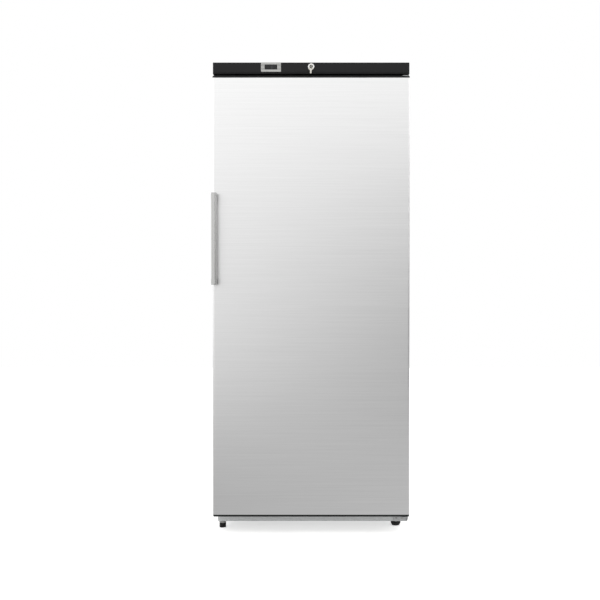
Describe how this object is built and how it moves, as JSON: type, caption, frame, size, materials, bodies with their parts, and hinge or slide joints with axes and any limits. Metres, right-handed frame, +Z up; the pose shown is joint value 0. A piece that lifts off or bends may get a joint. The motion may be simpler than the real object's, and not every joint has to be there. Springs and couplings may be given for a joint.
{
  "type": "upright freezer",
  "caption": "Tall one-door upright freezer with a brushed steel door, bar handle, black header with controller and lock, fixed evaporator shelves and a rear compressor compartment.",
  "frame": {"origin": "on the floor, in the middle of the cabinet's width and of the overall depth", "axes": "+Z up, -Y out of the door's front, +X to the hinge side"},
  "size_m": [0.7832, 0.73, 1.86],
  "materials": {
    "bezel_plastic": "satin",
    "black_plastic": "fine texture",
    "black_rubber": "matte",
    "brushed_door_steel": "brushed",
    "coated_sheet": "satin",
    "compressor_enamel": "gloss",
    "condenser_enamel": "satin",
    "copper": "drawn",
    "display_glass": "gloss",
    "fan_plastic": "matte",
    "foam": "matte",
    "galvanised_sheet": "satin",
    "gasket_vinyl": "soft",
    "grey_plastic": "matte",
    "handle_bracket_metal": "satin",
    "handle_metal": "satin",
    "hinge_steel": "satin",
    "key_nickel": "polished",
    "key_plastic": "satin",
    "lock_chrome": "polished",
    "motor_metal": "satin",
    "tray_plastic": "matte",
    "tube_coating": "gloss",
    "white_liner": "gloss",
    "zinc_steel": "satin"
  },
  "bodies": {
    "cabinet": {"back_panel": "galvanised_sheet", "base_frame": "galvanised_sheet", "bottom_hinge": "hinge_steel", "bottom_sheet": "galvanised_sheet", "compressor": "compressor_enamel", "compressor_grommets": "black_rubber", "compressor_plate": "galvanised_sheet", "condenser": "condenser_enamel", "controller_bezel": "bezel_plastic", "controller_body": "black_plastic", "display_window": "display_glass", "evaporation_tray": "tray_plastic", "evaporator_risers": "tube_coating", "evaporator_tubes": "tube_coating", "evaporator_wires": "tube_coating", "fan_bracket": "galvanised_sheet", "fan_motor": "motor_metal", "filter_drier": "copper", "foot_leg": "grey_plastic", "foot_nuts": "zinc_steel", "header_housing": "black_plastic", "hinge_screws": "zinc_steel", "hinge_washer": "black_plastic", "inner_liner": "white_liner", "insulation_foam": "foam", "lock_barrel": "lock_chrome", "lock_nut": "zinc_steel", "mains_inlet": "black_plastic", "outer_wrapper": "coated_sheet", "rear_cover": "galvanised_sheet", "rear_cover_screws": "zinc_steel", "refrigerant_pipes": "copper", "roller_forks": "zinc_steel", "shelf_trims": "white_liner", "terminal_box": "black_plastic", "top_hinge": "hinge_steel"},
    "door": {"door_skin": "brushed_door_steel", "door_foam": "foam", "door_liner": "white_liner", "door_gasket": "gasket_vinyl", "door_top_cap": "black_plastic", "door_bottom_cap": "black_plastic", "hinge_bushes": "black_plastic", "handle_bar": "handle_metal", "handle_brackets": "handle_bracket_metal", "handle_screws": "zinc_steel"},
    "lock": {"lock_plug": "lock_chrome", "lock_cam": "zinc_steel", "lock_key": "key_nickel"},
    "hanging_key": {"key_ring": "key_nickel", "spare_key": "key_nickel"},
    "key_up": {"key_up": "key_plastic"},
    "key_down": {"key_down": "key_plastic"},
    "key_set": {"key_set": "key_plastic"},
    "key_light": {"key_light": "key_plastic"},
    "left_foot": {"left_foot": "black_rubber"},
    "right_foot": {"right_foot": "black_rubber"},
    "left_roller": {"left_roller": "grey_plastic"},
    "right_roller": {"right_roller": "grey_plastic"},
    "condenser_fan": {"condenser_fan": "fan_plastic"}
  },
  "joints": [
    {"name": "door_hinge", "type": "hinge", "parent": "cabinet", "child": "door", "pos_m": [0.37, -0.301, 0.938], "axis": [0, 0, 1], "range_deg": [0, 110]},
    {"name": "lock_turn", "type": "hinge", "parent": "cabinet", "child": "lock", "pos_m": [0, -0.318, 1.843], "axis": [0, 1, 0], "range_deg": [0, 90]},
    {"name": "key_swing", "type": "hinge", "parent": "lock", "child": "hanging_key", "pos_m": [0, -0.3455, 1.843], "axis": [0, 1, 0], "range_deg": [-90, 0]},
    {"name": "key_up_press", "type": "slide", "parent": "cabinet", "child": "key_up", "axis": [0, 1, 0], "range_m": [0, 0.0005], "stiffness_N_per_m": 200, "springref_m": -0.0005},
    {"name": "key_down_press", "type": "slide", "parent": "cabinet", "child": "key_down", "axis": [0, 1, 0], "range_m": [0, 0.0005], "stiffness_N_per_m": 200, "springref_m": -0.0005},
    {"name": "key_set_press", "type": "slide", "parent": "cabinet", "child": "key_set", "axis": [0, 1, 0], "range_m": [0, 0.0005], "stiffness_N_per_m": 200, "springref_m": -0.0005},
    {"name": "key_light_press", "type": "slide", "parent": "cabinet", "child": "key_light", "axis": [0, 1, 0], "range_m": [0, 0.0005], "stiffness_N_per_m": 200, "springref_m": -0.0005},
    {"name": "left_foot_level", "type": "slide", "parent": "cabinet", "child": "left_foot", "axis": [0, 0, -1], "range_m": [0, 0.012]},
    {"name": "right_foot_level", "type": "slide", "parent": "cabinet", "child": "right_foot", "axis": [0, 0, -1], "range_m": [0, 0.012]},
    {"name": "left_roller_spin", "type": "hinge", "parent": "cabinet", "child": "left_roller", "pos_m": [-0.356, 0.33, 0.02], "axis": [1, 0, 0], "continuous": true},
    {"name": "right_roller_spin", "type": "hinge", "parent": "cabinet", "child": "right_roller", "pos_m": [0.356, 0.33, 0.02], "axis": [1, 0, 0], "continuous": true},
    {"name": "fan_spin", "type": "hinge", "parent": "cabinet", "child": "condenser_fan", "pos_m": [0.18, 0.222, 0.158], "axis": [0, 1, 0], "continuous": true}
  ],
  "couplings": [
    {"joint": "key_swing", "follows": "lock_turn", "ratio": -1}
  ]
}
